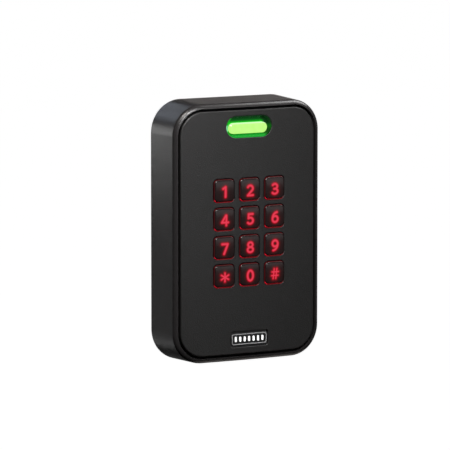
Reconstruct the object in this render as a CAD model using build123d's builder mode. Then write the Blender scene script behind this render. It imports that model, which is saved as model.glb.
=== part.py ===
from build123d import *
import os

# Keypad access reader for a single-gang wall box, in millimetres.
# The origin is on the wall plane, at the centre of the housing. +X is to the right of someone
# facing the reader, +Z is up, and the face looks along -Y.
# Every depth below is a distance in front of the wall.

os.makedirs("parts", exist_ok=True)

# Housing: a drafted rounded box, open at the back, with a deck behind the face plate. Its rim
# follows the crown of the face plate, and rim_front is the depth of the rim at the two sides.
rear_width = 82.6
rear_height = 129.2
rear_corner = 16.0
draft = 0.75
rim_front = 23.4
rim_fillet = 2.6
rim_wall = 1.9
rim_end_wall = 2.2
deck_front = 19.2
deck_back = 17.2
cover_step = 8.4
rear_cavity_wall = 2.6
front_cavity_wall = 4.6
front_width = rear_width - 2 * draft
front_height = rear_height - 2 * draft
front_corner = rear_corner - draft

# Face plate: an insert with a crown across its width, standing in the rim with a groove round it
groove = 1.3
plate_back = 20.2
plate_fillet = 0.6
crown_front = 25.25
crown_rise = 1.8
crown_half_width = 38.0
crown_radius = (crown_half_width**2 + crown_rise**2) / (2 * crown_rise)
pocket_width = front_width - 2 * rim_wall
pocket_height = front_height - 2 * rim_end_wall
pocket_corner = front_corner - rim_wall
plate_width = pocket_width - 2 * groove
plate_height = pocket_height - 2 * groove
plate_corner = pocket_corner - groove
opening_fillet = 0.3
above_everything = crown_front + 5
draft_above_everything = draft * above_everything / rim_front

# Keys
key_pitch = 14.05
keypad_z = 0.0
key_size = 11.15
key_corner = 2.1
key_gap = 0.3
key_proud = 1.0
key_fillet = 0.9
key_crown_radius = 45.0
flange_size = 12.7
flange_corner = 1.5
flange_front = 22.3
flange_thickness = 0.9
plunger_radius = 1.6
plunger_tip = 18.75
keypad_pocket_width = 48.0
keypad_pocket_height = 59.0
keypad_pocket_front = 22.4
keypad_pocket_corner = 2.0
key_names = ["1", "2", "3", "4", "5", "6", "7", "8", "9", "star", "0", "hash"]
key_columns = [(column - 1) * key_pitch for column in range(3)]
key_rows = [keypad_z + (1.5 - row) * key_pitch for row in range(4)]
key_places = [(x, z) for z in key_rows for x in key_columns]
crown_axis_y = crown_radius - crown_front
key_top_y = -crown_front - key_proud
key_crown_sag = key_pitch**2 / (8 * key_crown_radius)

# Status light
light_z = 51.2
light_width = 21.0
light_height = 5.2
light_front = 24.35
light_back = 18.5
light_bevel = 0.45
light_clearance = 0.05
light_flange = 1.6
light_window_clearance = 0.3
status_led_xs = (-7, 0, 7)
status_led_size = (3.2, 2.8)
status_led_front = 18.2
recess_z = 52.0
recess_floor = 22.0
recess_floor_width = 24.1
recess_floor_height = 9.5
recess_flare = -12
lens_clearance = 0.04
lens_wall = 0.5
lens_floor = 0.5
lens_below_surface = 0.3

# Badge
badge_z = -53.05
badge_recess_width = 21.0
badge_recess_height = 7.9
badge_recess_depth = 0.9
badge_recess_corner = 1.4
badge_width = 19.5
badge_height = 5.4
badge_corner = 1.2
badge_thickness = 0.5
badge_rim_wall = 0.45
badge_rim_height = 0.3
badge_mark_count = 7
badge_mark_pitch = 2.5
badge_mark_width = 1.0
badge_mark_height = 2.6
badge_floor = crown_front - badge_recess_depth

# Keypad mat, domes and board
mat_width = 46.4
mat_height = 59.4
mat_thickness = 1.0
mat_corner = 2.0
mat_clearance = 0.3
bell_front = 20.3
bell_radius = 5.0
chamber_radius = 3.4
dome_radius = 2.5
dome_height = 0.3
dome_taper = 55
led_offset = key_pitch / 2
led_size = (1.6, 0.8, 0.6)
led_window_clearance = 0.4
board_thickness = 1.6
board_clearance = 0.6
keypad_board_back = deck_back - board_thickness

# M2 screws, used three times: keypad board to face plate, spacers to reader board, back cover
screw_shank = 1.0
screw_clear_hole = 1.3
screw_head_height = 1.3
thread_clearance = 0.05

# Screws that clamp keypad board, deck and face plate
face_screw_places = [(x, z) for x in (-30.5, 30.5) for z in (-44, 44)]
plate_boss_radius = 2.6
face_screw_tip = 21.6
face_screw_head = 2.0
screw_end_room = 0.2

# Antenna coil on the keypad board
coil_width = 2.6
coil_height = 1.8
coil_outset = 0.9

# Reader board and what stands on it
spacer_places = [(x, z) for x in (-26, 26) for z in (-38, 38)]
spacer_flats = 4.0
board_screw_tip = 14.8
board_screw_head = 1.9
reader_board_front = 13.2
reader_board_back = reader_board_front - board_thickness
reader_board_width = 62.0
reader_board_height = 92.0
reader_board_corner = 3.0
link_z = -36.0
link_width = 26.0
link_depth = 4.4
link_height = 1.9
link_wall = 0.6
link_gap = 0.2
link_socket_front = 14.7
connector_z = -32.0
connector_size = (24.0, 5.6)
connector_wall = (0.7, 0.9)
connector_height = 3.0
connector_depth = 2.0
block_corner = 0.2
capacitor_places = ((17, -22), (17, -15))
capacitor_radius = 2.5
capacitor_height = 3.2
microcontroller_place = (-14, 14)
microcontroller_size = (7, 7, 1.0)
radio_chip_place = (13, 18)
radio_chip_size = (5, 5, 0.9)
crystal_place = (13, 9)
crystal_size = (5, 3.2, 1.2)
crystal_corner = 0.8
resistor_places = [(x, z) for x in (-6, -3, 0, 3) for z in (2, -3)]
resistor_size = (1.6, 0.8, 0.5)
regulator_place = (-17, -12)
regulator_size = (6.5, 3.5, 1.6)
suppressor_places = [(x, -23) for x in (-8, 0, 8)]
suppressor_size = (4.3, 3.6, 2.2)
buzzer_place = (-14, 26)
buzzer_radius = 8.0
buzzer_height = 2.8
sound_hole = 1.2

# Back cover
cover_screw_places = [(x, z) for x in (-30.3, 30.3) for z in (-54.3, 54.3)]
cover_boss_radius = 4.6
cover_boss_front = 13.2
gasket_thickness = 0.8
cover_front = cover_step - gasket_thickness
cover_thickness = 1.8
cover_back = cover_front - cover_thickness
cover_pad_radius = 3.0
cover_screw_reach = 3.8
cover_screw_head = 2.2
boss_hole_depth = 4.3
gasket_play = 0.4
gasket_overlap = 0.3
tamper_x = 24.0
tamper_size = (3.2, 3.2)
tamper_back = 8.2
tamper_sight_hole = 2.0
grommet_z = -12.0
grommet_hole = 3.0
grommet_neck = 5.0
grommet_flange = 6.6
grommet_inner_lip = 0.8
grommet_outer_lip = 1.2
grommet_fillet = 0.5

# Mounting plate for the wall box
mount_thickness = 1.6
mount_width = 68.0
mount_height = 116.0
mount_corner = 10.0
box_screw_spacing = 83.3
box_slot_length = 8.4
box_slot_width = 4.4
window_width = 34.0
window_height = 46.0
window_corner = 4.0
tab_reach = 5.4
hook_x = 17.0
hook_width = 10.8
hook_z = 59.0
hook_tip_z = 62.8
hook_lip = 1.6
hook_side_room = 0.4
hook_room = 0.5
hook_recess_depth = 2.7
hook_recess_y = hook_recess_depth / 2 - tab_reach - hook_room
security_depth = 3.6
security_tab_width = 12.0
security_shank = 1.2
security_seat_z = -62.6
security_length = 6.0
security_head = 2.7
security_head_height = 1.6
security_socket = 1.3
security_head_room = 0.25
security_hole = 1.7


def ahead(depth):
    """A plane parallel to the wall, that far in front of it, facing the user."""
    return Plane.XZ.offset(depth)


def finish(piece, name):
    """Label a finished piece and write it to its own file."""
    piece.part.label = name
    export_step(piece.part, f"parts/{name}.step")
    print(name, round(piece.part.volume, 1))


def blocks(places, low, high, size, corner=block_corner):
    """Rounded blocks on the places given, from one depth to another."""
    with BuildPart() as group:
        with BuildSketch(ahead(low)):
            with Locations(*places):
                RectangleRounded(size[0], size[1], corner)
        extrude(amount=high - low)
    return group


def pan_head_screws(places, seat, tip, head_radius):
    """Screws driven towards the face, with their heads on the seat depth and a hexagon socket."""
    with BuildPart() as screws:
        with BuildSketch(ahead(seat)):
            with Locations(*places):
                Circle(screw_shank)
        extrude(amount=tip - seat)
        with BuildSketch(ahead(seat)):
            with Locations(*places):
                Circle(head_radius)
        extrude(amount=-screw_head_height)
        chamfer(screws.faces().group_by(Axis.Y)[-1].edges(), screw_head_height * 0.3)
        with BuildSketch(ahead(seat - screw_head_height)):
            with Locations(*places):
                RegularPolygon(head_radius * 0.5, 6)
        extrude(amount=screw_head_height * 0.6, mode=Mode.SUBTRACT)
    return screws


# Housing
with BuildPart() as housing:
    with BuildSketch(ahead(0)):
        RectangleRounded(rear_width, rear_height, rear_corner)
    with BuildSketch(ahead(above_everything)):
        RectangleRounded(
            rear_width - 2 * draft_above_everything,
            rear_height - 2 * draft_above_everything,
            rear_corner - draft_above_everything,
        )
    loft()
    with BuildSketch(Plane.XY.offset(-rear_height)):
        with Locations((0, crown_axis_y)):
            Circle(crown_radius)
    extrude(amount=2 * rear_height, mode=Mode.INTERSECT)
    fillet(housing.faces().sort_by(Axis.Y)[0].edges(), rim_fillet)
    with BuildSketch(ahead(deck_front)):
        RectangleRounded(pocket_width, pocket_height, pocket_corner)
    extrude(amount=rim_front, mode=Mode.SUBTRACT)
    with BuildSketch(ahead(0)):
        RectangleRounded(
            rear_width - 2 * rear_cavity_wall,
            rear_height - 2 * rear_cavity_wall,
            rear_corner - rear_cavity_wall,
        )
    extrude(amount=cover_step, mode=Mode.SUBTRACT)
    with BuildSketch(ahead(0)):
        RectangleRounded(
            rear_width - 2 * front_cavity_wall,
            rear_height - 2 * front_cavity_wall,
            rear_corner - front_cavity_wall,
        )
    extrude(amount=deck_back, mode=Mode.SUBTRACT)
    # Bosses for the back cover, grown out of the corners of the cavity
    with BuildSketch(ahead(cover_step)):
        with Locations(*cover_screw_places):
            Circle(cover_boss_radius)
    extrude(amount=cover_boss_front - cover_step)
    with BuildSketch(ahead(cover_step)):
        with Locations(*cover_screw_places):
            Circle(screw_shank + thread_clearance)
    extrude(amount=boss_hole_depth, mode=Mode.SUBTRACT)
    # Windows of the deck: keypad mat, light pipe and the four clamping screws
    with BuildSketch(ahead(deck_back)):
        with Locations((0, keypad_z)):
            RectangleRounded(
                mat_width + 2 * mat_clearance,
                mat_height + 2 * mat_clearance,
                mat_corner + mat_clearance,
            )
        with Locations((0, light_z)):
            SlotOverall(
                light_width + 2 * light_window_clearance, light_height + 2 * light_window_clearance
            )
        with Locations(*face_screw_places):
            Circle(screw_clear_hole)
    extrude(amount=deck_front - deck_back, mode=Mode.SUBTRACT)
    # Recesses in the top wall for the two hooks of the mounting plate
    with BuildSketch(Plane.XY.offset(hook_tip_z + hook_room)):
        with Locations((-hook_x, hook_recess_y), (hook_x, hook_recess_y)):
            Rectangle(hook_width + 2 * hook_side_room, hook_recess_depth)
    extrude(amount=-hook_recess_depth, mode=Mode.SUBTRACT)
    # Counterbored hole in the bottom wall for the security screw
    with BuildSketch(Plane.XY.offset(-rear_height / 2 - 1)):
        with Locations((0, -security_depth)):
            Circle(security_hole)
    extrude(amount=security_length, mode=Mode.SUBTRACT)
    with BuildSketch(Plane.XY.offset(security_seat_z)):
        with Locations((0, -security_depth)):
            Circle(security_head + security_head_room)
    extrude(amount=-security_length, mode=Mode.SUBTRACT)
finish(housing, "housing")

# Face plate
with BuildPart() as face_plate:
    with BuildSketch(ahead(plate_back)):
        RectangleRounded(plate_width, plate_height, plate_corner)
    extrude(amount=above_everything - plate_back)
    with BuildSketch(Plane.XY.offset(-plate_height)):
        with Locations((0, crown_axis_y)):
            Circle(crown_radius)
    extrude(amount=2 * plate_height, mode=Mode.INTERSECT)
    fillet(face_plate.faces().sort_by(Axis.Y)[0].edges(), plate_fillet)
    with BuildSketch(ahead(plate_back)):
        with Locations(*key_places):
            RectangleRounded(key_size + 2 * key_gap, key_size + 2 * key_gap, key_corner + key_gap)
    extrude(amount=above_everything - plate_back, mode=Mode.SUBTRACT)
    with BuildSketch(ahead(recess_floor)):
        with Locations((0, recess_z)):
            SlotOverall(recess_floor_width, recess_floor_height)
    extrude(amount=above_everything - recess_floor, taper=recess_flare, mode=Mode.SUBTRACT)
    with BuildSketch(ahead(badge_floor)):
        with Locations((0, badge_z)):
            RectangleRounded(badge_recess_width, badge_recess_height, badge_recess_corner)
    extrude(amount=badge_recess_depth + 1, mode=Mode.SUBTRACT)
    crown = face_plate.faces().sort_by(Axis.Y)[0]
    fillet(crown.inner_wires().edges(), opening_fillet)
    with BuildSketch(ahead(plate_back)):
        with Locations((0, keypad_z)):
            RectangleRounded(keypad_pocket_width, keypad_pocket_height, keypad_pocket_corner)
    extrude(amount=keypad_pocket_front - plate_back, mode=Mode.SUBTRACT)
    with BuildSketch(ahead(plate_back)):
        with Locations((0, light_z)):
            SlotOverall(light_width + 2 * light_clearance, light_height + 2 * light_clearance)
    extrude(amount=recess_floor - plate_back, mode=Mode.SUBTRACT)
    # Bosses that stand on the deck and take the clamping screws
    with BuildSketch(ahead(deck_front)):
        with Locations(*face_screw_places):
            Circle(plate_boss_radius)
    extrude(amount=plate_back - deck_front)
    with BuildSketch(ahead(deck_front)):
        with Locations(*face_screw_places):
            Circle(screw_shank + thread_clearance)
    extrude(amount=face_screw_tip + screw_end_room - deck_front, mode=Mode.SUBTRACT)
finish(face_plate, "face_plate")

# Seal under the edge of the face plate, which is the bottom of the groove
seal_play = 0.05
seal_width = 3.3
with BuildPart() as face_gasket:
    with BuildSketch(ahead(deck_front)):
        RectangleRounded(
            pocket_width - 2 * seal_play, pocket_height - 2 * seal_play, pocket_corner - seal_play
        )
        RectangleRounded(
            pocket_width - 2 * seal_width,
            pocket_height - 2 * seal_width,
            pocket_corner - seal_width,
            mode=Mode.SUBTRACT,
        )
    extrude(amount=plate_back - deck_front)
finish(face_gasket, "face_gasket")

# Badge: a plain plate with a raised rim, and a row of plain upright marks on it
with BuildPart() as badge_plate:
    with BuildSketch(ahead(badge_floor)):
        with Locations((0, badge_z)):
            RectangleRounded(badge_width, badge_height, badge_corner)
    extrude(amount=badge_thickness)
    with BuildSketch(ahead(badge_floor + badge_thickness)):
        with Locations((0, badge_z)):
            RectangleRounded(badge_width, badge_height, badge_corner)
            RectangleRounded(
                badge_width - 2 * badge_rim_wall,
                badge_height - 2 * badge_rim_wall,
                badge_corner - badge_rim_wall,
                mode=Mode.SUBTRACT,
            )
    extrude(amount=badge_rim_height)
finish(badge_plate, "badge_plate")

with BuildPart() as badge_marks:
    with BuildSketch(ahead(badge_floor + badge_thickness)):
        with Locations((0, badge_z)):
            with GridLocations(badge_mark_pitch, 0, badge_mark_count, 1):
                SlotOverall(badge_mark_height, badge_mark_width, rotation=90)
    extrude(amount=badge_rim_height)
finish(badge_marks, "badge_marks")

# Light pipe of the status light, with a flange held between face plate and deck
with BuildPart() as light_pipe:
    with BuildSketch(ahead(light_back)):
        with Locations((0, light_z)):
            SlotOverall(light_width, light_height)
    extrude(amount=light_front - light_back)
    chamfer(light_pipe.faces().sort_by(Axis.Y)[0].edges(), light_bevel)
    with BuildSketch(ahead(deck_front)):
        with Locations((0, light_z)):
            SlotOverall(light_width + 2 * light_flange, light_height + 2 * light_flange)
    extrude(amount=plate_back - deck_front)
finish(light_pipe, "light_pipe")

# Green lens tray that lines the recess round the light pipe
with BuildPart() as light_lens:
    with BuildSketch(ahead(recess_floor + lens_clearance)):
        with Locations((0, recess_z)):
            SlotOverall(
                recess_floor_width - 2 * lens_clearance, recess_floor_height - 2 * lens_clearance
            )
    extrude(amount=above_everything - recess_floor, taper=recess_flare)
    with BuildSketch(Plane.XY.offset(recess_z - recess_floor_height)):
        with Locations((0, crown_axis_y)):
            Circle(crown_radius - lens_below_surface)
    extrude(amount=2 * recess_floor_height, mode=Mode.INTERSECT)
    with BuildSketch(ahead(recess_floor + lens_clearance + lens_floor)):
        with Locations((0, recess_z)):
            SlotOverall(recess_floor_width - 2 * lens_wall, recess_floor_height - 2 * lens_wall)
    extrude(amount=above_everything - recess_floor, taper=recess_flare, mode=Mode.SUBTRACT)
    with BuildSketch(ahead(recess_floor)):
        with Locations((0, light_z)):
            SlotOverall(light_width + 2 * light_clearance, light_height + 2 * light_clearance)
    extrude(amount=recess_floor, mode=Mode.SUBTRACT)
finish(light_lens, "light_lens")

status_leds = blocks(
    [(x, light_z) for x in status_led_xs], deck_back, status_led_front, status_led_size
)
finish(status_leds, "status_leds")

# Keys: a cap that follows the crown and is itself a little crowned from top to bottom, a flange
# behind the face plate and a plunger
for key_name, (key_x, key_z) in zip(key_names, key_places):
    with BuildPart() as key:
        with BuildSketch(ahead(flange_front - flange_thickness)):
            with Locations((key_x, key_z)):
                RectangleRounded(key_size, key_size, key_corner)
        extrude(amount=above_everything - flange_front)
        with BuildSketch(Plane.YZ):
            with BuildLine():
                low_corner = (key_top_y + key_crown_sag, key_z - key_pitch / 2)
                high_corner = (key_top_y + key_crown_sag, key_z + key_pitch / 2)
                ThreePointArc(low_corner, (key_top_y, key_z), high_corner)
                Polyline(
                    high_corner, (crown_axis_y, high_corner[1]), (crown_axis_y, low_corner[1]), low_corner
                )
            make_face()
        revolve(axis=Axis((0, crown_axis_y, 0), (0, 0, 1)), mode=Mode.INTERSECT)
        fillet(key.faces().sort_by(Axis.Y)[0].edges(), key_fillet)
        with BuildSketch(ahead(flange_front - flange_thickness)):
            with Locations((key_x, key_z)):
                RectangleRounded(flange_size, flange_size, flange_corner)
        extrude(amount=flange_thickness)
        with BuildSketch(ahead(plunger_tip)):
            with Locations((key_x, key_z)):
                Circle(plunger_radius)
        extrude(amount=flange_front - flange_thickness - plunger_tip)
    finish(key, f"key_{key_name}")

# Silicone mat: a sheet with a raised bell round each plunger and a hole over each backlight LED
with BuildPart() as keypad_mat:
    with BuildSketch(ahead(deck_back)):
        with Locations((0, keypad_z)):
            RectangleRounded(mat_width, mat_height, mat_corner)
    extrude(amount=mat_thickness)
    with BuildSketch(ahead(deck_back)):
        with Locations(*key_places):
            Circle(bell_radius)
    extrude(amount=bell_front - deck_back)
    with BuildSketch(ahead(deck_back)):
        with Locations(*key_places):
            Circle(chamber_radius)
        with Locations(*[(x, z + led_offset) for x, z in key_places]):
            Rectangle(led_size[0] + 2 * led_window_clearance, led_size[1] + 2 * led_window_clearance)
    extrude(amount=bell_front - deck_back, mode=Mode.SUBTRACT)
finish(keypad_mat, "keypad_mat")

with BuildPart() as snap_domes:
    with BuildSketch(ahead(deck_back)):
        with Locations(*key_places):
            Circle(dome_radius)
    extrude(amount=dome_height, taper=dome_taper)
finish(snap_domes, "snap_domes")

backlight_leds = blocks(
    [(x, z + led_offset) for x, z in key_places], deck_back, deck_back + led_size[2], led_size
)
finish(backlight_leds, "backlight_leds")

with BuildPart() as keypad_board:
    with BuildSketch(ahead(keypad_board_back)):
        RectangleRounded(
            rear_width - 2 * (front_cavity_wall + board_clearance),
            rear_height - 2 * (front_cavity_wall + board_clearance),
            rear_corner - front_cavity_wall - board_clearance,
        )
        with Locations(*face_screw_places):
            Circle(screw_clear_hole, mode=Mode.SUBTRACT)
    extrude(amount=board_thickness)
finish(keypad_board, "keypad_board")

face_screws = pan_head_screws(
    face_screw_places, keypad_board_back, face_screw_tip, face_screw_head
)
finish(face_screws, "face_screws")

# Antenna coil, wound round the edge of the keypad board
coil_inset = front_cavity_wall + coil_outset
with BuildPart() as antenna_coil:
    with BuildSketch(ahead(keypad_board_back)):
        for inset, how in ((coil_inset, Mode.ADD), (coil_inset + coil_width, Mode.SUBTRACT)):
            RectangleRounded(
                rear_width - 2 * inset, rear_height - 2 * inset, rear_corner - inset, mode=how
            )
    extrude(amount=-coil_height)
finish(antenna_coil, "antenna_coil")

with BuildPart() as board_spacers:
    with BuildSketch(ahead(reader_board_front)):
        with Locations(*spacer_places):
            RegularPolygon(spacer_flats / 2, 6, major_radius=False)
            Circle(screw_shank + thread_clearance, mode=Mode.SUBTRACT)
    extrude(amount=keypad_board_back - reader_board_front)
finish(board_spacers, "board_spacers")

with BuildPart() as reader_board:
    with BuildSketch(ahead(reader_board_back)):
        RectangleRounded(reader_board_width, reader_board_height, reader_board_corner)
        with Locations(*spacer_places):
            Circle(screw_clear_hole, mode=Mode.SUBTRACT)
    extrude(amount=board_thickness)
finish(reader_board, "reader_board")

reader_board_screws = pan_head_screws(
    spacer_places, reader_board_back, board_screw_tip, board_screw_head
)
finish(reader_board_screws, "reader_board_screws")

# Board-to-board link: a shrouded header on the keypad board and a socket that enters it
with BuildPart() as board_header:
    with BuildSketch(ahead(keypad_board_back)):
        with Locations((0, link_z)):
            Rectangle(link_width, link_depth)
    extrude(amount=-link_height)
    with BuildSketch(ahead(keypad_board_back - link_wall)):
        with Locations((0, link_z)):
            Rectangle(link_width - 2 * link_wall, link_depth - 2 * link_wall)
    extrude(amount=-link_height, mode=Mode.SUBTRACT)
finish(board_header, "board_header")

link_inset = 2 * (link_wall + link_gap)
board_socket = blocks(
    [(0, link_z)],
    reader_board_front,
    link_socket_front,
    (link_width - link_inset, link_depth - link_inset),
)
finish(board_socket, "board_socket")

# Electronics on the front of the reader board
for part_name, part_places, part_size, part_corner in (
    ("microcontroller", [microcontroller_place], microcontroller_size, block_corner),
    ("radio_chip", [radio_chip_place], radio_chip_size, block_corner),
    ("crystal", [crystal_place], crystal_size, crystal_corner),
    ("small_resistors", resistor_places, resistor_size, block_corner),
):
    part_front = reader_board_front + part_size[2]
    finish(blocks(part_places, reader_board_front, part_front, part_size, part_corner), part_name)

# Electronics on the back of the reader board
for part_name, part_places, part_size in (
    ("voltage_regulator", [regulator_place], regulator_size),
    ("surge_suppressors", suppressor_places, suppressor_size),
):
    finish(blocks(part_places, reader_board_back - part_size[2], reader_board_back, part_size), part_name)

with BuildPart() as filter_capacitors:
    with BuildSketch(ahead(reader_board_back)):
        with Locations(*capacitor_places):
            Circle(capacitor_radius)
    extrude(amount=-capacitor_height)
    fillet(filter_capacitors.faces().group_by(Axis.Y)[-1].edges(), capacitor_height / 10)
finish(filter_capacitors, "filter_capacitors")

with BuildPart() as piezo_buzzer:
    with BuildSketch(ahead(reader_board_back)):
        with Locations(buzzer_place):
            Circle(buzzer_radius)
    extrude(amount=-buzzer_height)
    with BuildSketch(ahead(reader_board_back - buzzer_height)):
        with Locations(buzzer_place):
            Circle(sound_hole)
    extrude(amount=buzzer_height / 2, mode=Mode.SUBTRACT)
finish(piezo_buzzer, "piezo_buzzer")

tamper_sensor = blocks([(tamper_x, 0)], tamper_back, reader_board_back, tamper_size)
finish(tamper_sensor, "tamper_sensor")

with BuildPart() as cable_connector:
    with BuildSketch(ahead(reader_board_back)):
        with Locations((0, connector_z)):
            Rectangle(*connector_size)
    extrude(amount=-connector_height)
    with BuildSketch(ahead(reader_board_back - connector_height)):
        with Locations((0, connector_z)):
            Rectangle(
                connector_size[0] - 2 * connector_wall[0], connector_size[1] - 2 * connector_wall[1]
            )
    extrude(amount=connector_depth, mode=Mode.SUBTRACT)
finish(cable_connector, "cable_connector")

# Gasket and back cover, which close the front cavity
gasket_inset = rear_cavity_wall + gasket_play
with BuildPart() as back_gasket:
    with BuildSketch(ahead(cover_front)):
        for inset, how in ((gasket_inset, Mode.ADD), (front_cavity_wall - gasket_overlap, Mode.SUBTRACT)):
            RectangleRounded(
                rear_width - 2 * inset, rear_height - 2 * inset, rear_corner - inset, mode=how
            )
    extrude(amount=gasket_thickness)
finish(back_gasket, "back_gasket")

with BuildPart() as back_cover:
    with BuildSketch(ahead(cover_back)):
        RectangleRounded(
            rear_width - 2 * gasket_inset, rear_height - 2 * gasket_inset, rear_corner - gasket_inset
        )
    extrude(amount=cover_thickness)
    with BuildSketch(ahead(cover_front)):
        with Locations(*cover_screw_places):
            Circle(cover_pad_radius)
    extrude(amount=gasket_thickness)
    with BuildSketch(ahead(cover_back)):
        with Locations(*cover_screw_places):
            Circle(screw_clear_hole)
        with Locations((0, grommet_z)):
            Circle(grommet_neck)
        with Locations((tamper_x, 0)):
            Circle(tamper_sight_hole)
    extrude(amount=cover_step - cover_back, mode=Mode.SUBTRACT)
finish(back_cover, "back_cover")

back_cover_screws = pan_head_screws(
    cover_screw_places, cover_back, cover_step + cover_screw_reach, cover_screw_head
)
finish(back_cover_screws, "back_cover_screws")

# Rubber grommet of the cable inlet: two flanges with the cover held between them
with BuildPart() as cable_grommet:
    with BuildSketch(ahead(cover_back)):
        with Locations((0, grommet_z)):
            Circle(grommet_neck)
    extrude(amount=cover_thickness)
    for flange_depth, flange_growth in ((cover_front, grommet_inner_lip), (cover_back, -grommet_outer_lip)):
        with BuildSketch(ahead(flange_depth)):
            with Locations((0, grommet_z)):
                Circle(grommet_flange)
        extrude(amount=flange_growth)
    fillet(cable_grommet.faces().sort_by(Axis.Y)[-1].edges(), grommet_fillet)
    with BuildSketch(ahead(0)):
        with Locations((0, grommet_z)):
            Circle(grommet_hole)
    extrude(amount=deck_back, mode=Mode.SUBTRACT)
finish(cable_grommet, "cable_grommet")

# Mounting plate: pressed steel with two hooks at the top and a screw tab at the bottom
with BuildPart() as mounting_plate:
    with BuildSketch(ahead(0)):
        RectangleRounded(mount_width, mount_height, mount_corner)
        with Locations((-hook_x, mount_height / 2), (hook_x, mount_height / 2)):
            Rectangle(hook_width, 2 * (hook_z + mount_thickness - mount_height / 2))
        with Locations((0, -mount_height / 2)):
            Rectangle(security_tab_width, 2 * (hook_z + mount_thickness - mount_height / 2))
        RectangleRounded(window_width, window_height, window_corner, mode=Mode.SUBTRACT)
        with Locations((0, -box_screw_spacing / 2), (0, box_screw_spacing / 2)):
            SlotOverall(box_slot_length, box_slot_width, rotation=90, mode=Mode.SUBTRACT)
    extrude(amount=mount_thickness)
    with BuildSketch(Plane.XY.offset(hook_z)):
        with Locations((-hook_x, -tab_reach / 2), (hook_x, -tab_reach / 2)):
            Rectangle(hook_width, tab_reach)
    extrude(amount=mount_thickness)
    with BuildSketch(Plane.XY.offset(hook_z)):
        with Locations((-hook_x, hook_lip / 2 - tab_reach), (hook_x, hook_lip / 2 - tab_reach)):
            Rectangle(hook_width, hook_lip)
    extrude(amount=hook_tip_z - hook_z)
    with BuildSketch(Plane.XY.offset(-hook_z)):
        with Locations((0, -tab_reach / 2)):
            Rectangle(security_tab_width, tab_reach)
        with Locations((0, -security_depth)):
            Circle(security_shank + thread_clearance, mode=Mode.SUBTRACT)
    extrude(amount=-mount_thickness)
finish(mounting_plate, "mounting_plate")

# Security screw: up through the bottom wall of the housing into the tab
with BuildPart() as security_screw:
    with BuildSketch(Plane.XY.offset(security_seat_z)):
        with Locations((0, -security_depth)):
            Circle(security_shank)
    extrude(amount=security_length)
    with BuildSketch(Plane.XY.offset(security_seat_z)):
        with Locations((0, -security_depth)):
            Circle(security_head)
    extrude(amount=-security_head_height)
    chamfer(security_screw.faces().sort_by(Axis.Z)[0].edges(), security_head_height / 5)
    with BuildSketch(Plane.XY.offset(security_seat_z - security_head_height)):
        with Locations((0, -security_depth)):
            RegularPolygon(security_socket, 6)
    extrude(amount=security_head_height * 0.6, mode=Mode.SUBTRACT)
finish(security_screw, "security_screw")
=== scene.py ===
from math import cos, pi, radians, sin, sqrt

import bmesh
import bpy
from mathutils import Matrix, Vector


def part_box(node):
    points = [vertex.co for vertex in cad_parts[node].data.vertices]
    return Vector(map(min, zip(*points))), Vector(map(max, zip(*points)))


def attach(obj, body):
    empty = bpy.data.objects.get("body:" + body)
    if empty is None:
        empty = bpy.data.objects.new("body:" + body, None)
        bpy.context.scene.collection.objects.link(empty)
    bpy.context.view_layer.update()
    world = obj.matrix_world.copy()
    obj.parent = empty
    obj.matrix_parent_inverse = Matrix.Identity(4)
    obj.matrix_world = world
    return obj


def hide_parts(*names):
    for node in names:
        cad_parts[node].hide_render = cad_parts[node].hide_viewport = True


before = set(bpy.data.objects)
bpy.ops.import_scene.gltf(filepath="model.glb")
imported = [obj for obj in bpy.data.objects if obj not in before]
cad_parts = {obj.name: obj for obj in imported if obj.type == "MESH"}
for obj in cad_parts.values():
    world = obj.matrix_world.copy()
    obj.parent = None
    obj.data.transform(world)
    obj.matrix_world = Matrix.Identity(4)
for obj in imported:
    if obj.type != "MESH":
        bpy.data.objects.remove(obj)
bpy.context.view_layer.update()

MM = 0.001
KEY_NAMES = ("1", "2", "3", "4", "5", "6", "7", "8", "9", "star", "0", "hash")

# Places and sizes read from the frame
crown_front = -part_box("face_plate")[0].y
badge_front = -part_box("badge_plate")[0].y
bar_low, bar_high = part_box("light_pipe")
bar_middle = (bar_low + bar_high) / 2
key_boxes = {name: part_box(f"key_{name}") for name in KEY_NAMES}
key_centres = {name: (low + high) / 2 for name, (low, high) in key_boxes.items()}
key_pitch = key_centres["2"].x - key_centres["1"].x
key_front = -key_boxes["2"][0].y

# Shape of the rim, the crown and the keys, as in the CAD model
RIM_FRONT = 23.4 * MM
CROWN_RISE = 1.8 * MM
CROWN_HALF_WIDTH = 38.0 * MM
CROWN_RADIUS = (CROWN_HALF_WIDTH**2 + CROWN_RISE**2) / (2 * CROWN_RISE)
KEY_HALF = 5.575 * MM
KEY_EDGE_INSET = 0.1 * MM
KEY_CORNER = 2.1 * MM
KEY_FILLET = 0.9 * MM
KEY_CROWN_RADIUS = 45.0 * MM
OPENING_HALF = 5.875 * MM
OPENING_CORNER = 2.4 * MM
FLANGE_HALF = 6.35 * MM
FLANGE_CORNER = 1.5 * MM
FLANGE_FRONT = 22.3 * MM
FLANGE_BACK = 21.4 * MM
PLUNGER_RADIUS = 1.6 * MM
PLUNGER_TIP = 18.75 * MM
BAR_HALF_HEIGHT = 2.6 * MM
# The top and the flange of a rebuilt key stay this far inside the CAD key that it replaces
SKIN = 0.03 * MM


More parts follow.
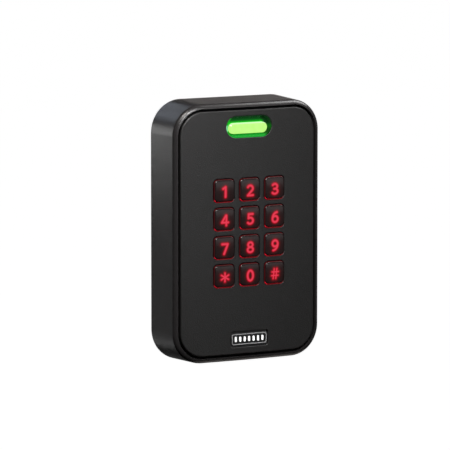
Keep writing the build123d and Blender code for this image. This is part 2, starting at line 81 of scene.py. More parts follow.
# ---------------------------------------------------------------- how materials are built
class Surface:
    """A procedural material: a Principled shader with helpers that add and link nodes."""

    def __init__(self, name):
        self.material = bpy.data.materials.new(name)
        self.material.use_nodes = True
        tree = self.material.node_tree
        self.nodes, self.links = tree.nodes, tree.links
        self.shader = self.nodes["Principled BSDF"]
        self.place = self.add("ShaderNodeTexCoord").outputs["Object"]

    def put(self, node, name, value):
        """Set one input of a node, or link it when the value is another node's output."""
        socket = node.inputs[name]
        if isinstance(value, bpy.types.NodeSocket):
            self.links.new(value, socket)
        elif isinstance(value, tuple) and len(value) == 3 and socket.type == "RGBA":
            socket.default_value = (*value, 1.0)
        else:
            socket.default_value = value

    def add(self, kind, settings=(), **inputs):
        """A new node, with its settings and with its inputs by name."""
        node = self.nodes.new(kind)
        for key, value in dict(settings).items():
            setattr(node, key, value)
        for name, value in inputs.items():
            self.put(node, name.replace("_", " "), value)
        return node

    def math(self, operation, first, second=0.0, third=0.0):
        node = self.add("ShaderNodeMath", {"operation": operation})
        for index, value in enumerate((first, second, third)):
            self.put(node, index, value)
        return node.outputs[0]

    def span(self, value, low, high, start=0.0, end=1.0):
        """Map a value smoothly from low..high to start..end."""
        node = self.add("ShaderNodeMapRange", {"interpolation_type": "SMOOTHSTEP"})
        for index, number in enumerate((value, low, high, start, end)):
            self.put(node, index, number)
        return node.outputs[0]

    def axes(self, vector):
        return self.add("ShaderNodeSeparateXYZ", Vector=vector).outputs

    def normal(self):
        """The x, y and z of the surface's direction."""
        return self.axes(self.add("ShaderNodeNewGeometry").outputs["Normal"])

    def stored(self, name):
        """A value that is stored on the points of the mesh."""
        return self.add("ShaderNodeAttribute", {"attribute_name": name}).outputs["Fac"]

    def current(self, name):
        """The output that is linked to one of the shader's inputs so far."""
        return self.shader.inputs[name].links[0].from_socket

    def noise(self, size, detail, stretch=None):
        """Noise whose blobs are about size metres across, from 0 to 1."""
        place = self.place
        if stretch:
            place = self.add("ShaderNodeMapping", Vector=place, Scale=stretch).outputs[0]
        return self.add("ShaderNodeTexNoise", Vector=place, Scale=1 / size, Detail=detail).outputs["Fac"]

    def mix(self, amount, first, second):
        """A colour between two colours: the first at an amount of 0, the second at 1."""
        node = self.add("ShaderNodeMix", {"data_type": "RGBA"})
        for index, value in ((0, amount), (6, first), (7, second)):
            self.put(node, index, value)
        return node.outputs[2]

    def ramp(self, value, stops):
        """A colour that follows a value from 0 to 1 through stops of place and colour."""
        node = self.add("ShaderNodeValToRGB", Fac=value)
        elements = node.color_ramp.elements
        while len(elements) < len(stops):
            elements.new(0.5)
        for element, (place, colour) in zip(elements, stops):
            element.position = place
            element.color = (*colour, 1.0)
        return node.outputs[0]

    def bump(self, height, depth):
        return self.add("ShaderNodeBump", Height=height, Distance=depth, Strength=1.0).outputs[0]

    def set(self, **inputs):
        """Set or link the shader's own inputs."""
        for name, value in inputs.items():
            self.put(self.shader, name.replace("_", " "), value)


def shade(colour, factor):
    return tuple(channel * factor for channel in colour)


PATCH_SIZE = 9 * MM
PATCHINESS = 0.03
SPECKLE = 0.3


def grained(name, colour, roughness, grain, depth, **fixed):
    """Moulded or coated stuff: fine grain in the bump, with slow patches in colour and gloss."""
    look = Surface(name)
    fine = look.noise(grain, 3.0)
    slow = look.noise(PATCH_SIZE, 2.0)
    patched = look.mix(slow, shade(colour, 1 - PATCHINESS), shade(colour, 1 + PATCHINESS))
    specks = look.span(fine, 0.35, 0.65)
    speckled = look.mix(specks, shade(colour, 1 - SPECKLE), shade(colour, 1 + SPECKLE))
    look.set(
        Base_Color=look.mix(0.5, patched, speckled),
        Roughness=look.span(slow, 0.3, 0.7, roughness - 0.01, roughness + 0.01),
        Normal=look.bump(fine, depth),
        **fixed,
    )
    return look


def metal(name, colour, roughness, lines, depth, stretch=(1, 1, 1)):
    """Metal with drawn lines or spots, and dull patches from handling."""
    look = Surface(name)
    fine = look.noise(lines, 3.0, stretch)
    slow = look.noise(7 * MM, 3.0)
    look.set(
        Base_Color=look.mix(fine, shade(colour, 0.82), shade(colour, 1.1)),
        Metallic=1.0,
        Roughness=look.span(slow, 0.3, 0.7, roughness - 0.08, roughness + 0.1),
        Normal=look.bump(fine, depth),
    )
    return look


def clad(material, *nodes):
    """Give CAD nodes a material."""
    for node in nodes:
        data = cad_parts[node].data
        data.materials.clear()
        data.materials.append(material)


# ---------------------------------------------------------------- key legends
def line(*points):
    return list(points)


def arc(centre, radii, start, end, count=24):
    """Points on an ellipse, from one angle to another in degrees, 0 to the right and 90 up."""
    turn = [radians(start + (end - start) * i / count) for i in range(count + 1)]
    return [(centre[0] + radii[0] * cos(a), centre[1] + radii[1] * sin(a)) for a in turn]


def flipped(strokes):
    return [[(-x, -z) for x, z in stroke] for stroke in strokes]


SIX = [arc((1.25, -0.75), (2.75, 3.15), 95, 180), arc((0, -0.95), (1.5, 1.5), 0, 360, 40)]
ARMS = [line((0, 0), (2.2 * cos(radians(a)), 2.1 * sin(radians(a)))) for a in range(30, 390, 60)]
# Each glyph: half the width of its strokes, and the strokes, in millimetres from its middle
GLYPHS = {
    "1": (0.73, [line((-0.95, 1.6), (0.35, 2.4), (0.35, -2.45))]),
    "2": (0.71, [arc((-0.1, 1.0), (1.45, 1.4), 150, -35) + line((-1.4, -2.4), (1.5, -2.4))]),
    "3": (0.71, [
        arc((-0.2, 1.2), (1.4, 1.2), 145, -90) + line((-0.6, 0.0)),
        arc((-0.2, -1.22), (1.6, 1.22), 90, -145),
    ]),
    "4": (0.69, [line((1.75, -1.0), (-1.7, -1.0), (0.5, 2.4), (0.75, 2.4), (0.75, -2.45))]),
    "5": (0.71, [
        line((1.3, 2.35), (-0.95, 2.35), (-1.05, 0.35)) + arc((-0.15, -0.9), (1.6, 1.5), 118, -140),
    ]),
    "6": (0.71, SIX),
    "7": (0.71, [line((-1.5, 2.35), (1.5, 2.35), (-0.45, -2.45))]),
    "8": (0.69, [
        arc((0, 1.25), (1.25, 1.15), 0, 360, 40), arc((0, -1.2), (1.5, 1.25), 0, 360, 40),
    ]),
    "9": (0.71, flipped(SIX)),
    "star": (0.52, ARMS),
    "0": (0.71, [arc((0, 0), (1.5, 2.45), 0, 360, 48)]),
    "hash": (0.4, [
        line((-0.45, 2.4), (-1.05, -2.4)), line((1.05, 2.4), (0.45, -2.4)),
        line((-1.7, 0.9), (1.9, 0.9)), line((-1.9, -0.9), (1.7, -0.9)),
    ]),
}
# In millimetres: how far the legends sit below the middle of the key, and the cell and half width of
# the grid that they are cut from
LEGEND_DROP = 0.5
LEGEND_CELL = 0.09
LEGEND_REACH = 3.4
# Front and back of the print: heights over the key's top, in multiples of SKIN
PRINT_FRONT = 0.6
PRINT_BACK = -2.0


def stroke_distance(strokes, x, z):
    """Distance in millimetres from a point on the key face to the middle of the nearest stroke."""
    best = 1e9
    for stroke in strokes:
        for (ax, az), (bx, bz) in zip(stroke, stroke[1:]):
            dx, dz = bx - ax, bz - az
            run = dx * dx + dz * dz
            t = 0.0 if run == 0 else max(0.0, min(1.0, ((x - ax) * dx + (z - az) * dz) / run))
            best = min(best, (x - ax - t * dx) ** 2 + (z - az - t * dz) ** 2)
    return sqrt(best)


def key_surface(x, z, centre):
    """Depth coordinate of the key's top at a place given from the key's centre, in metres."""
    reach = CROWN_RADIUS + key_front - crown_front - SKIN - z * z / (2 * KEY_CROWN_RADIUS)
    return CROWN_RADIUS - crown_front - sqrt(reach * reach - (centre.x + x) ** 2)


def new_piece(name, vertices, faces, material, smooth=True):
    mesh = bpy.data.meshes.new(name)
    mesh.from_pydata(vertices, [], faces)
    mesh.materials.append(material)
    piece = bpy.data.objects.new(name, mesh)
    bpy.context.scene.collection.objects.link(piece)
    for polygon in mesh.polygons:
        polygon.use_smooth = smooth
    return piece


def point_values(piece, name, values):
    """Store one value for each point of a mesh, for its material to read."""
    layer = piece.data.attributes.new(name, "FLOAT", "POINT")
    layer.data.foreach_set("value", values)


def legend(name, material):
    """A thin raised print in the shape of the glyph: cells of a grid, cut along the stroke's edge."""
    width, strokes = GLYPHS[name]
    centre = key_centres[name]
    steps = int(2 * LEGEND_REACH / LEGEND_CELL)
    level = {}
    for i in range(steps + 1):
        for j in range(steps + 1):
            x, z = i * LEGEND_CELL - LEGEND_REACH, j * LEGEND_CELL - LEGEND_REACH
            level[i, j] = width - stroke_distance(strokes, x, z)
    flat, index, faces, edge_count = [], {}, [], {}

    def corner(i, j):
        key = (i, j)
        if key not in index:
            index[key] = len(flat)
            flat.append((i, j, level[key]))
        return index[key]

    def crossing(a, b):
        key = (min(a, b), max(a, b))
        if key not in index:
            t = level[a] / (level[a] - level[b])
            index[key] = len(flat)
            flat.append((a[0] + (b[0] - a[0]) * t, a[1] + (b[1] - a[1]) * t, 0.0))
        return index[key]

    for i in range(steps):
        for j in range(steps):
            loop = ((i, j), (i + 1, j), (i + 1, j + 1), (i, j + 1))
            outline = []
            for a, b in zip(loop, loop[1:] + loop[:1]):
                if level[a] > 0:
                    outline.append(corner(*a))
                if (level[a] > 0) != (level[b] > 0):
                    outline.append(crossing(a, b))
            if len(outline) > 2:
                faces.append(tuple(outline))
    for face in faces:
        for a, b in zip(face, face[1:] + face[:1]):
            edge_count[a, b] = edge_count.get((a, b), 0) + 1
    rim = [(a, b) for a, b in edge_count if (b, a) not in edge_count]
    count = len(flat)
    vertices, depth = [], []
    for lift in (PRINT_FRONT, PRINT_BACK):
        for i, j, inside in flat:
            x = (i * LEGEND_CELL - LEGEND_REACH) * MM
            z = (j * LEGEND_CELL - LEGEND_REACH - LEGEND_DROP) * MM
            vertices.append((centre.x + x, key_surface(x, z, centre) - lift * SKIN, centre.z + z))
            depth.append(min(1.0, inside / width))
    faces += [tuple(count + v for v in reversed(face)) for face in faces]
    faces += [(b, a, count + a, count + b) for a, b in rim]
    piece = new_piece(f"legend_{name}", vertices, faces, material)
    point_values(piece, "stroke_depth", depth)
    return piece


# ---------------------------------------------------------------- key caps
RING_SIDE = 26
RING_ARC = 8
TOP_RINGS = 36
FILLET_RINGS = 9
WALL_RINGS = 4
# Least corner of a ring, as a share of its half, so that small rings stay rounded squares
LEAST_CORNER = 0.12
# Corner of a ring that is a circle, as a share of its half: just short of it, so that it keeps its sides
ROUND_CORNER = 0.999
# Edge value from which the dull edge finish starts, and a later one at the upper left, which is glossy
DULL_START = 0.3
GLOSSY_CORNER_START = 0.95
SHARP_ANGLE = radians(40)
# Stroke distance of the plunger's tip, in millimetres, where no light of the legend shows
FAR_FROM_STROKE = 5.0


def ring(half, corner):
    """Points round a rounded square, the same number on every ring."""
    points = []
    flat = half - corner
    for quarter in range(4):
        turn = quarter * pi / 2
        for i in range(RING_ARC):
            a = turn + pi / 2 * i / RING_ARC
            cx, cz = ((1, 1), (-1, 1), (-1, -1), (1, -1))[quarter]
            points.append((cx * flat + corner * cos(a), cz * flat + corner * sin(a)))
        ax, az = cos(turn + pi / 2), sin(turn + pi / 2)
        for i in range(RING_SIDE):
            along = flat - 2 * flat * i / RING_SIDE
            points.append((ax * half + az * along, az * half - ax * along))
    return points


def key_cap(name):
    """Cap, flange and plunger of one key, as rings from the middle of the top to the plunger's tip.

    Each point also stores its distance from the legend, and an edge value: 0 on the top, up to 1 over
    the fillet, up to 2 down the wall and 2 on the flange and the plunger.
    """
    _, strokes = GLYPHS[name]
    centre = key_centres[name]
    vertices, to_stroke, edge = [], [], []

    def lay(half, corner, place, edge_value):
        for x, z in ring(half, corner):
            vertices.append((centre.x + x, place(x, z), centre.z + z))
            to_stroke.append(stroke_distance(strokes, x / MM, z / MM + LEGEND_DROP))
            edge.append(edge_value)

    for i in range(1, TOP_RINGS + 1):
        half = (KEY_HALF - KEY_FILLET) * i / TOP_RINGS
        corner = max(KEY_CORNER - (KEY_HALF - half), LEAST_CORNER * half)
        lay(half, corner, lambda x, z: key_surface(x, z, centre), 0.0)
    for i in range(1, FILLET_RINGS + 1):
        share = i / FILLET_RINGS
        turn = pi / 2 * share
        inset = KEY_FILLET * (1 - sin(turn)) + KEY_EDGE_INSET * share
        drop = KEY_FILLET * (1 - cos(turn))
        half = KEY_HALF - inset
        corner = max(KEY_CORNER - inset, LEAST_CORNER * half)
        lay(half, corner, lambda x, z: key_surface(x, z, centre) + drop, share)
    for i in range(1, WALL_RINGS + 1):
        share = i / WALL_RINGS

        def wall(x, z):
            start = key_surface(x, z, centre) + KEY_FILLET
            return start + (-FLANGE_FRONT - start) * share

        lay(KEY_HALF - KEY_EDGE_INSET, KEY_CORNER, wall, 1.0 + share)
    rest = (
        (FLANGE_HALF - SKIN, FLANGE_CORNER, FLANGE_FRONT),
        (FLANGE_HALF - SKIN, FLANGE_CORNER, FLANGE_BACK),
        (PLUNGER_RADIUS, PLUNGER_RADIUS * ROUND_CORNER, FLANGE_BACK),
        (PLUNGER_RADIUS, PLUNGER_RADIUS * ROUND_CORNER, PLUNGER_TIP),
    )
    for half, corner, depth in rest:
        lay(half, corner, lambda x, z: -depth, 2.0)
    around = 4 * (RING_ARC + RING_SIDE)
    rings = len(vertices) // around
    faces = []
    for r in range(rings - 1):
        for i in range(around):
            a, b = r * around + i, r * around + (i + 1) % around
            faces.append((a, b, b + around, a + around))
    vertices.append((centre.x, key_surface(0, 0, centre), centre.z))
    vertices.append((centre.x, -PLUNGER_TIP, centre.z))
    to_stroke += [stroke_distance(strokes, 0, LEGEND_DROP), FAR_FROM_STROKE]
    edge += [0.0, 2.0]
    top, tip = len(vertices) - 2, len(vertices) - 1
    last = (rings - 1) * around
    for i in range(around):
        j = (i + 1) % around
        faces.append((top, j, i))
        faces.append((tip, last + i, last + j))
    piece = new_piece(f"key_cap_{name}", vertices, faces, key_gloss)
    piece.data.materials.append(key_edge)
    for polygon in piece.data.polygons:
        x, z = polygon.center.x - centre.x, polygon.center.z - centre.z
        value = sum(edge[v] for v in polygon.vertices) / len(polygon.vertices)
        upper_left = x < -0.55 * KEY_HALF and z > -x * 0.4
        polygon.material_index = int(value > (GLOSSY_CORNER_START if upper_left else DULL_START))
    point_values(piece, "stroke_distance", to_stroke)
    point_values(piece, "edge", edge)
    turned = bmesh.new()
    turned.from_mesh(piece.data)
    bmesh.ops.recalc_face_normals(turned, faces=turned.faces)
    turned.to_mesh(piece.data)
    turned.free()
    piece.data.set_sharp_from_angle(angle=SHARP_ANGLE)
    return piece


# ---------------------------------------------------------------- the materials in use
RED = (1.0, 0.008, 0.03)

# Housing: its moulded outer edge is smoother than the grained faces beside it
EDGE_SMOOTHING = 0.04
housing = grained(
    "housing_plastic", (0.024, 0.0225, 0.023), 0.29, 0.45 * MM, 0.08 * MM, Specular_IOR_Level=0.5,
)
facing_front = housing.math("ABSOLUTE", housing.normal()[1])
past_sides = housing.span(facing_front, 0.15, 0.3)
before_face = housing.span(facing_front, 0.9, 0.97, 1.0, 0.0)
on_edge = housing.math("MULTIPLY", past_sides, before_face)
edge_roughness = housing.math("MULTIPLY_ADD", on_edge, -EDGE_SMOOTHING, housing.current("Roughness"))
housing.set(Roughness=edge_roughness)
clad(housing.material, "housing")

# Face plate: the same plastic, with painted shade (near black colour) and a dull finish at the edges of
# the key openings, and painted red light on their walls
SHADED_DULL_MARGIN = 0.06 * MM
GLOW_MARGIN = 0.05 * MM
OPENING_GLOW = 0.16
face = grained("face_plastic", (0.012, 0.0116, 0.0116), 0.42, 0.5 * MM, 0.13 * MM)


def near_openings(look, margin):
    """One inside the key openings and within a margin of them, zero elsewhere."""
    across, _, up = look.axes(look.place)[:3]
    half_pitch = key_pitch / 2
    from_column = look.math("ABSOLUTE", look.math("WRAP", across, half_pitch, -half_pitch))
    from_fives = look.math("SUBTRACT", up, key_centres["5"].z)
    from_row = look.math("ABSOLUTE", look.math("WRAP", from_fives, half_pitch, -half_pitch))
    in_columns = look.math("LESS_THAN", look.math("ABSOLUTE", across), 1.5 * key_pitch)
    from_middle = look.math("SUBTRACT", up, key_centres["5"].z - half_pitch)
    in_rows = look.math("LESS_THAN", look.math("ABSOLUTE", from_middle), 2 * key_pitch)
    flat = OPENING_HALF - OPENING_CORNER
    past_x = look.math("MAXIMUM", look.math("SUBTRACT", from_column, flat), 0.0)
    past_z = look.math("MAXIMUM", look.math("SUBTRACT", from_row, flat), 0.0)
    square = look.math("MULTIPLY_ADD", past_x, past_x, look.math("MULTIPLY", past_z, past_z))
    near = look.math("LESS_THAN", look.math("SQRT", square), OPENING_CORNER + margin)
    return look.math("MULTIPLY", near, look.math("MULTIPLY", in_columns, in_rows))


def opening_glow(look):
    """Red light on the walls of the key openings that face up."""
    normal = look.normal()
    walls = look.math("MULTIPLY", look.span(normal[1], -0.6, -0.1), look.span(normal[2], 0.2, 0.8))
    return look.math("MULTIPLY", near_openings(look, GLOW_MARGIN), walls)


# Painted shade: near black colour round the key openings, where the finish is also made dull
shaded_dull_edges = near_openings(face, SHADED_DULL_MARGIN)
face.set(
    Base_Color=face.mix(shaded_dull_edges, face.current("Base Color"), (0.002, 0.002, 0.002)),
    Roughness=face.math("MAXIMUM", face.current("Roughness"), shaded_dull_edges),
    Emission_Color=RED,
    Emission_Strength=face.math("MULTIPLY", opening_glow(face), OPENING_GLOW),
)
clad(face.material, "face_plate")

# Seals: dull black rubber
seal = grained("seal_rubber", (0.004, 0.004, 0.004), 0.8, 0.3 * MM, 0.02 * MM, Specular_IOR_Level=0.2)
clad(seal.material, "face_gasket", "back_gasket", "cable_grommet")

# Badge: dark plate whose satin rim is painted light grey, partly its own finish and partly a painted
# highlight, and white marks that also glow a little, which is painted light
badge = Surface("badge_plate_finish")
below_front = badge.math("ADD", badge.axes(badge.place)[1], badge_front)
raised = badge.span(below_front, 0.1 * MM, 0.2 * MM, 1.0, 0.0)
badge_grain = badge.noise(0.12 * MM, 2.0, (1, 1, 8))
# The raised rim and studs are painted light grey: their satin finish, with a painted highlight in it
badge.set(
    Base_Color=badge.mix(raised, (0.008, 0.008, 0.008), (0.38, 0.38, 0.39)),
    Roughness=badge.span(badge_grain, 0.2, 0.8, 0.3, 0.45),
    Metallic=badge.math("MULTIPLY", raised, 0.25),
    Normal=badge.bump(badge_grain, 0.01 * MM),
)
clad(badge.material, "badge_plate")
# The white marks glow a little: painted light that makes them brighter
marks = grained(
    "badge_mark_enamel_painted_glow", (0.85, 0.85, 0.85), 0.35, 0.3 * MM, 0.01 * MM,
    Emission_Color=(1.0, 1.0, 1.0), Emission_Strength=0.6,
)
clad(marks.material, "badge_marks")

# Light bar: lit through, with a painted highlight: whiter light on the bevel that faces up
bar = Surface("light_bar_lit")
bar_grain = bar.noise(2.5 * MM, 2.0)
# Painted highlight: the bevel that faces up glows whiter
painted_bevel_highlight = bar.span(bar.normal()[2], 0.35, 0.75)
bar_colour = bar.mix(bar.span(bar_grain, 0.3, 0.7), (0.50, 0.95, 0.21), (0.54, 1.0, 0.25))
bar.set(
    Base_Color=(0.02, 0.05, 0.01),
    Roughness=bar.span(bar_grain, 0.2, 0.8, 0.1, 0.18),
    Emission_Color=bar.mix(painted_bevel_highlight, bar_colour, (0.66, 1.0, 0.52)),
    Emission_Strength=1.0,
    Normal=bar.bump(bar_grain, 0.01 * MM),
)
clad(bar.material, "light_pipe")


# Lens tray: green, with the light of the bar that stands in it painted on as glow
LENS_WALL = 3.2 * MM


def lens_colour(look, across, up):
    """Painted glow of the bar's light: green that darkens upwards as painted shade, with a pale stripe
    at its left end where it mirrors the bar, a painted reflection.
    """
    over_bar = look.math("DIVIDE", look.math("SUBTRACT", up, BAR_HALF_HEIGHT), LENS_WALL)
    upper = look.ramp(over_bar, (
        (0.0, (0.003, 0.66, 0.006)), (0.2, (0.002, 0.32, 0.004)), (0.42, (0.001, 0.085, 0.006)),
        (0.9, (0.002, 0.026, 0.005)),
    ))
    lower = look.mix(look.span(up, -4.0 * MM, -2.6 * MM), (0.008, 0.36, 0.03), (0.003, 0.2, 0.006))
    wall = look.mix(look.span(up, 1.5 * MM, -1.5 * MM), upper, lower)
    # Painted light: brighter green at the left end
    with_left = look.mix(look.span(across, -9.5 * MM, -11.0 * MM), wall, (0.006, 0.36, 0.01))
    off_stripe = look.math("ABSOLUTE", look.math("SUBTRACT", up, 0.3 * MM))
    stripe_height = look.span(off_stripe, 1.9 * MM, 0.9 * MM)
    stripe = look.math("MULTIPLY", look.span(across, -11.3 * MM, -12.0 * MM), stripe_height)
    with_stripe = look.mix(stripe, with_left, (0.26, 0.85, 0.40))
    # Painted shade: darker green at the right end, above the middle
    right_end = look.span(across, 8.0 * MM, 10.2 * MM)
    above_right = look.math("MULTIPLY", look.span(up, 0.0, 2.4 * MM), right_end)
    return look.mix(above_right, with_stripe, (0.008, 0.12, 0.02))


def lens_strength(look, across, up):
    """Full painted light, except at the right end, where painted shade fades it sooner above and below
    the middle.
    """
    off_middle = look.math("MAXIMUM", look.math("MULTIPLY", up, 0.6), look.math("MULTIPLY", up, -0.3))
    leaning = look.math("ADD", across, off_middle)
    return look.span(leaning, 9.6 * MM, 11.6 * MM, 1.0, 0.2)


lens = Surface("lens_green")
lens_place = lens.axes(lens.place)
lens_up = lens.math("SUBTRACT", lens_place[2], bar_middle.z)
lens.set(
    Base_Color=(0.003, 0.012, 0.004),
    Roughness=lens.span(lens.noise(1.5 * MM, 2.0), 0.2, 0.8, 0.2, 0.3),
    Specular_IOR_Level=0.06,
    Emission_Color=lens_colour(lens, lens_place[0], lens_up),
    Emission_Strength=lens_strength(lens, lens_place[0], lens_up),
)
clad(lens.material, "light_lens")


# Keys: glossy dark caps, lit red round the legend and along the edges
# Strengths of that light, and how fast it falls off for each millimetre from the stroke
STROKE_EDGE = 0.68
NEAR_GLOW = 0.22
NEAR_FALL = 3.2
WIDE_GLOW = 0.045
WIDE_FALL = 0.75
LOWER_EDGE_GLOW = 2.4
UPPER_EDGE_GLOW = 0.42
LEFT_EDGE_GLOW = 0.09


def key_glow(look, to_stroke, edge_value):
    """Red light through a key: round the legend and along its edges, most of it at the lower edge."""
    normal = look.normal()
    past_stroke = look.math("SUBTRACT", to_stroke, STROKE_EDGE)
    near = look.math("EXPONENT", look.math("MULTIPLY", past_stroke, -NEAR_FALL))
    wide = look.math("EXPONENT", look.math("MULTIPLY", to_stroke, -WIDE_FALL))
    near_glow = look.math("MULTIPLY", near, NEAR_GLOW)
    wide_glow = look.math("MULTIPLY", wide, WIDE_GLOW)
    legend_glow = look.math("ADD", near_glow, wide_glow)
    facing_down = look.span(normal[2], -0.3, -0.8)
    facing_up = look.span(normal[2], 0.3, 0.7)
    facing_left = look.span(normal[0], -0.3, -0.8)
    towards_right = look.span(normal[0], -0.2, 0.5, 0.2, 1.0)
    below = look.math("MULTIPLY", facing_down, look.span(edge_value, 0.7, 0.95, 0.0, LOWER_EDGE_GLOW))
    above_and_right = look.math("MULTIPLY", facing_up, towards_right)
    above = look.math("MULTIPLY", above_and_right, look.span(edge_value, 0.5, 0.8, 0.0, UPPER_EDGE_GLOW))
    left = look.math("MULTIPLY", facing_left, look.span(edge_value, 0.5, 1.1, 0.0, LEFT_EDGE_GLOW))
    all_edges = look.math("ADD", below, look.math("ADD", above, left))
    edge_glow = look.math("MULTIPLY", all_edges, look.span(edge_value, 1.0, 1.15, 1.0, 0.0))
    return look.math("ADD", legend_glow, edge_glow)


def key_finish(name, colour, roughness, specular):
    look = Surface(name)
    speck = look.noise(0.5 * MM, 3.0)
    patch = look.noise(4 * MM, 2.0)
    look.set(
        Base_Color=look.mix(patch, shade(colour, 0.85), shade(colour, 1.15)),
        Roughness=look.span(speck, 0.3, 0.7, roughness - 0.02, roughness + 0.02),
        Specular_IOR_Level=specular,
        Emission_Color=RED,
        Emission_Strength=key_glow(look, look.stored("stroke_distance"), look.stored("edge")),
        Normal=look.bump(patch, 0.002 * MM),
    )
    return look.material


key_gloss = key_finish("key_gloss", (0.013, 0.009, 0.009), 0.19, 0.28)
key_edge = key_finish("key_edge", (0.010, 0.008, 0.008), 0.5, 0.12)

# Legends: lit red, paler along the middle of each stroke
print_red = Surface("legend_lit")
in_stroke = print_red.span(print_red.stored("stroke_depth"), 0.1, 0.75)
print_red.set(
    Base_Color=(0.02, 0.002, 0.003),
    Roughness=print_red.span(print_red.noise(0.3 * MM, 2.0), 0.2, 0.8, 0.5, 0.6),
    Specular_IOR_Level=0.08,
    Emission_Color=print_red.mix(in_stroke, (0.54, 0.004, 0.016), (0.74, 0.045, 0.085)),
    Emission_Strength=1.0,
)

# Back and inside
cover_plastic = grained("cover_plastic", (0.03, 0.03, 0.03), 0.5, 0.35 * MM, 0.03 * MM)
clad(cover_plastic.material, "back_cover")
plate_steel = metal("galvanised_steel", (0.55, 0.56, 0.57), 0.38, 1.6 * MM, 0.004 * MM)
clad(plate_steel.material, "mounting_plate")
zinc = metal("zinc_plate", (0.62, 0.61, 0.58), 0.3, 0.4 * MM, 0.01 * MM)
clad(zinc.material, "face_screws", "reader_board_screws", "back_cover_screws")
black_oxide = metal("black_oxide", (0.05, 0.05, 0.05), 0.35, 0.3 * MM, 0.01 * MM)
clad(black_oxide.material, "security_screw")
spring = metal("spring_steel", (0.7, 0.7, 0.7), 0.25, 0.3 * MM, 0.005 * MM)
clad(spring.material, "snap_domes", "crystal")
copper = metal("enamelled_copper", (0.72, 0.36, 0.2), 0.3, 0.35 * MM, 0.05 * MM, (0.05, 1, 0.05))
clad(copper.material, "antenna_coil")
brass = metal("turned_brass", (0.75, 0.6, 0.3), 0.25, 0.25 * MM, 0.01 * MM, (1, 6, 1))
clad(brass.material, "board_spacers")
aluminium = metal("can_aluminium", (0.75, 0.75, 0.76), 0.3, 0.3 * MM, 0.01 * MM)
clad(aluminium.material, "filter_capacitors")
mask = grained("solder_mask", (0.02, 0.16, 0.06), 0.3, 0.9 * MM, 0.02 * MM)
clad(mask.material, "keypad_board", "reader_board")
epoxy = grained("chip_epoxy", (0.03, 0.03, 0.03), 0.55, 0.2 * MM, 0.02 * MM)
clad(
    epoxy.material, "microcontroller", "radio_chip", "small_resistors", "voltage_regulator",
    "surge_suppressors", "piezo_buzzer", "tamper_sensor",
)
nylon = grained("connector_nylon", (0.8, 0.77, 0.7), 0.4, 0.3 * MM, 0.01 * MM)
clad(nylon.material, "board_header", "board_socket", "cable_connector")
# Keypad mat: glows red, painted light for the backlight shining through it
silicone = grained(
    "silicone", (0.5, 0.42, 0.42), 0.5, 0.3 * MM, 0.01 * MM, Emission_Color=RED, Emission_Strength=0.3,
)
clad(silicone.material, "keypad_mat")
led_cap = grained("led_cap", (0.85, 0.83, 0.7), 0.2, 0.3 * MM, 0.005 * MM)
clad(led_cap.material, "status_leds", "backlight_leds")

# Rebuilt keys and their legends, which ride on the CAD keys
for key_name in KEY_NAMES:
    cap_piece = key_cap(key_name)
    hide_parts(f"key_{key_name}")
    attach(cap_piece, f"key_{key_name}")
    legend_piece = legend(key_name, print_red.material)
    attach(legend_piece, f"key_{key_name}")


# ---------------------------------------------------------------- stage, light and camera
def panel(name, towards, distance, size, radiance, colour=(1, 1, 1)):
    """A soft light in one direction from the object, turned to it, with the radiance of its face."""
    data = bpy.data.lights.new(name, "AREA")
    data.shape = "RECTANGLE"
    data.size, data.size_y = size
    data.energy = radiance * pi * size[0] * size[1]
    data.color = colour
    light = bpy.data.objects.new(name, data)
    bpy.context.scene.collection.objects.link(light)
    middle = Vector((0, -RIM_FRONT / 2, 0))
    light.location = middle + Vector(towards).normalized() * distance
    light.rotation_euler = (middle - light.location).to_track_quat("-Z", "Y").to_euler()


def build_stage():
    world = bpy.data.worlds.new("white")
    world.use_nodes = True
    world.node_tree.nodes["Background"].inputs["Color"].default_value = (1, 1, 1, 1)
    world.node_tree.nodes["Background"].inputs["Strength"].default_value = 1.0
    for ray in ("diffuse", "glossy", "transmission", "scatter"):
        setattr(world.cycles_visibility, ray, False)
    bpy.context.scene.world = world
    pale = Surface("pale_floor")
    tone = pale.noise(0.4, 2.0)
    pale.set(
        Base_Color=pale.mix(tone, (0.86, 0.86, 0.86), (0.9, 0.9, 0.9)), Roughness=0.8,
        Emission_Color=(1, 1, 1), Emission_Strength=1.0,
    )
    size = 5.0
    drop = -0.5
    corners = [(-size, -size, drop), (size, -size, drop), (size, size, drop), (-size, size, drop)]
    floor = new_piece("floor", corners, [(0, 1, 2, 3)], pale.material, smooth=False)
    floor.visible_diffuse = False
    floor.visible_glossy = False


# Where the camera stands from the front of the rim, and how far the middle of its view is off that
AZIMUTH = radians(28.58)
ELEVATION = radians(7.37)
DISTANCE = 2.040
FOCAL_LENGTH = 332.0
SHIFT_RIGHT = -11.12 * MM
SHIFT_UP = 3.14 * MM


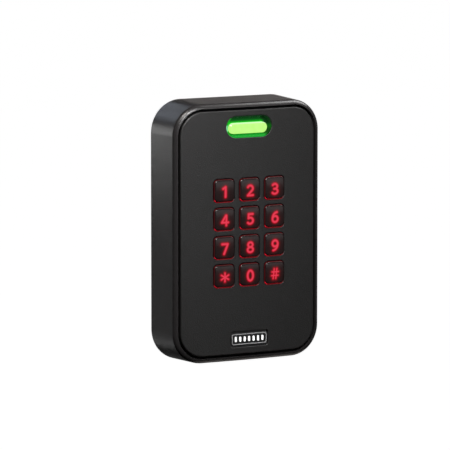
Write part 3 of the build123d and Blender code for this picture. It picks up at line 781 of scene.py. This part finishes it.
def build_camera():
    forward = Vector((sin(AZIMUTH) * cos(ELEVATION), cos(AZIMUTH) * cos(ELEVATION), -sin(ELEVATION)))
    right = Vector((cos(AZIMUTH), -sin(AZIMUTH), 0))
    up = right.cross(forward)
    data = bpy.data.cameras.new("camera")
    data.sensor_width = 36.0
    data.lens = FOCAL_LENGTH
    data.clip_end = 50
    camera = bpy.data.objects.new("camera", data)
    bpy.context.scene.collection.objects.link(camera)
    target = Vector((0, -RIM_FRONT, 0)) + right * SHIFT_RIGHT + up * SHIFT_UP
    camera.location = target - forward * DISTANCE
    camera.rotation_euler = forward.to_track_quat("-Z", "Y").to_euler()
    bpy.context.scene.camera = camera


build_stage()
# From behind, at grazing angles, for the left side, the top and the turn of the rim
panel("behind_left", (-0.46, 0.876, 0.115), 0.45, (0.16, 0.11), 3.2)
panel("behind_left_low", (-0.46, 0.876, -0.27), 0.45, (0.18, 0.16), 0.26)
panel("behind_below", (-0.2, 0.876, -0.45), 0.45, (0.14, 0.09), 1.0)
panel("behind_below_right", (0.25, 0.876, -0.36), 0.45, (0.28, 0.2), 0.16)
panel("behind_above", (-0.10, 0.876, 0.45), 0.45, (0.27, 0.10), 2.1, (0.78, 0.86, 1.0))
panel("behind_right", (0.46, 0.876, 0.16), 0.45, (0.25, 0.12), 0.66, (1.0, 0.92, 0.89))
# From below and overhead, for the rim
panel("below", (0.46, 0.10, -0.88), 0.45, (0.3, 0.3), 0.8, (1.0, 0.92, 0.88))
panel("overhead_left", (-0.46, -0.44, 0.78), 0.6, (0.16, 0.16), 26.0, (1.0, 0.96, 0.92))
panel("overhead_right", (0.75, -0.12, 0.85), 0.42, (0.22, 0.22), 8.0)
# From the front, for the face plate and the keys
panel("front_strip", (0.42, -0.90, 0.10), 0.8, (0.42, 0.20), 1.35)
panel("front_left", (0.05, -0.95, 0.20), 0.7, (0.2, 0.3), 1.8)
panel("front_near", (-0.14, -0.80, 0.56), 0.38, (0.09, 0.07), 55.0)
panel("front_low", (0.46, -0.88, -0.28), 0.8, (0.7, 0.3), 0.05)
build_camera()
bpy.context.scene.view_settings.view_transform = "Standard"
